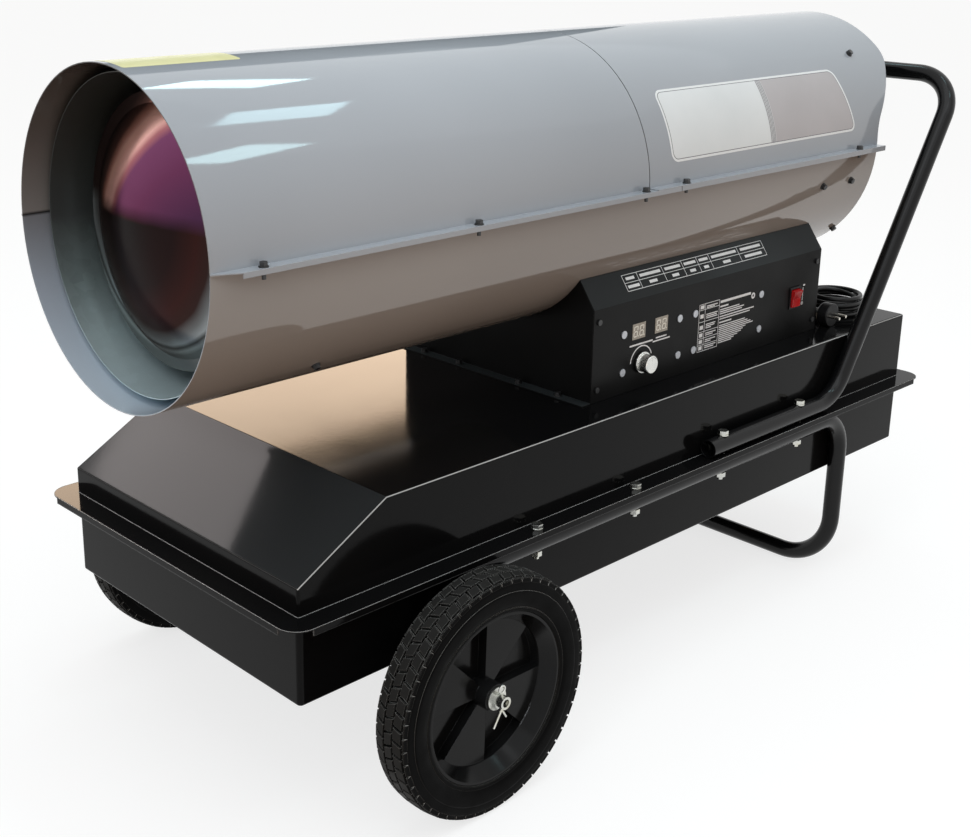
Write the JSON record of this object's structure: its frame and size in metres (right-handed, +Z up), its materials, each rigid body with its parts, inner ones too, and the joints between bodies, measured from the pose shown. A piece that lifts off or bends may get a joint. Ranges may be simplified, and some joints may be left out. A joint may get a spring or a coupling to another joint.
{
  "type": "diesel forced air heater",
  "caption": "Wheeled forced-air heater: a round steel blower tube on a control box over a long fuel tank, with a tubular push handle, rear stand and side control panel.",
  "frame": {"origin": "centre of the object's footprint, on the floor", "axes": "+X from the hot-air outlet to the push handle, +Y to the heater's right side, away from the control panel, +Z up"},
  "size_m": [1.4234, 0.7002, 0.8784],
  "materials": {
    "grey_paint": "glossy",
    "black_paint": "semi-gloss",
    "galvanised_steel": "satin",
    "tinted_steel": "heat-tinted satin",
    "zinc_plate": "bright zinc",
    "black_screw": "black oxide",
    "rivet_metal": "satin",
    "brass": "plain",
    "copper_line": "plain",
    "black_rubber": "matte",
    "tyre_rubber": "matte",
    "rim_plastic": "glossy",
    "black_plastic": "fine texture",
    "strainer_plastic": "translucent",
    "knob_metal": "turned",
    "red_plastic": "glossy",
    "display_plastic": "glossy",
    "board_laminate": "plain",
    "ceramic": "glazed",
    "machine_paint": "satin",
    "fan_metal": "plain",
    "guard_wire": "bright",
    "prong_metal": "nickel"
  },
  "bodies": {
    "heater": {"front_upper_shell": "grey_paint", "rear_upper_shell": "grey_paint", "lower_shell": "grey_paint", "tank_pan": "black_paint", "tank_cover": "black_paint", "frame_tube": "black_paint", "push_handle": "black_paint", "control_box": "black_paint", "control_panel": "black_paint", "filler_neck": "black_paint", "heat_shield": "galvanised_steel", "shield_spacers": "galvanised_steel", "motor_tray": "galvanised_steel", "chamber_clips": "galvanised_steel", "combustion_chamber": "tinted_steel", "chamber_dome": "tinted_steel", "burner_head": "tinted_steel", "frame_bolts": "zinc_plate", "frame_nuts": "zinc_plate", "bolt_washers": "zinc_plate", "axle": "zinc_plate", "axle_washers": "zinc_plate", "axle_sleeves": "zinc_plate", "split_pins": "zinc_plate", "potentiometer": "zinc_plate", "seam_screws": "black_screw", "shell_screws": "black_screw", "box_screws": "black_screw", "panel_rivets": "rivet_metal", "fuel_nozzle": "brass", "drain_plug": "brass", "fuel_pickup": "brass", "fuel_line": "copper_line", "air_line": "black_rubber", "power_cord": "black_rubber", "cord_coil": "black_rubber", "plug_lead": "black_rubber", "cord_gland": "black_plastic", "plug_body": "black_plastic", "switch_housing": "black_plastic", "filler_strainer": "strainer_plastic", "display_windows": "display_plastic", "control_boards": "board_laminate", "ignition_electrodes": "ceramic", "ignition_transformer": "machine_paint", "motor_body": "machine_paint", "air_pump": "machine_paint", "rear_guard": "guard_wire", "plug_prongs": "prong_metal"},
    "left_wheel": {"left_rim": "rim_plastic", "left_tyre": "tyre_rubber"},
    "right_wheel": {"right_rim": "rim_plastic", "right_tyre": "tyre_rubber"},
    "fan_rotor": {"fan": "fan_metal", "motor_shaft": "zinc_plate"},
    "knob": {"thermostat_knob": "knob_metal", "knob_spindle": "zinc_plate"},
    "rocker": {"power_rocker": "red_plastic"},
    "cap_seal": {"filler_gasket": "black_rubber"},
    "cap": {"filler_cap": "black_plastic"}
  },
  "joints": [
    {"name": "left_wheel_spin", "type": "hinge", "parent": "heater", "child": "left_wheel", "pos_m": [-0.42875, -0.3135, 0.1525], "axis": [0, 1, 0], "continuous": true},
    {"name": "right_wheel_spin", "type": "hinge", "parent": "heater", "child": "right_wheel", "pos_m": [-0.42875, 0.3135, 0.1525], "axis": [0, 1, 0], "continuous": true},
    {"name": "fan_spin", "type": "hinge", "parent": "heater", "child": "fan_rotor", "pos_m": [0.30825, 0, 0.6835], "axis": [1, 0, 0], "continuous": true},
    {"name": "knob_turn", "type": "hinge", "parent": "heater", "child": "knob", "pos_m": [0.00075, -0.19, 0.4395], "axis": [0, -1, 0], "range_deg": [0, 270]},
    {"name": "rocker_tilt", "type": "hinge", "parent": "heater", "child": "rocker", "pos_m": [0.37525, -0.1832, 0.465], "axis": [-1, 0, 0], "range_deg": [0, 18]},
    {"name": "cap_lift", "type": "slide", "parent": "heater", "child": "cap_seal", "axis": [0, 0, 1], "range_m": [0, 0.06]},
    {"name": "cap_turn", "type": "hinge", "parent": "cap_seal", "child": "cap", "pos_m": [0.53975, 0.15, 0.424], "axis": [0, 0, 1], "range_deg": [0, 90]}
  ]
}
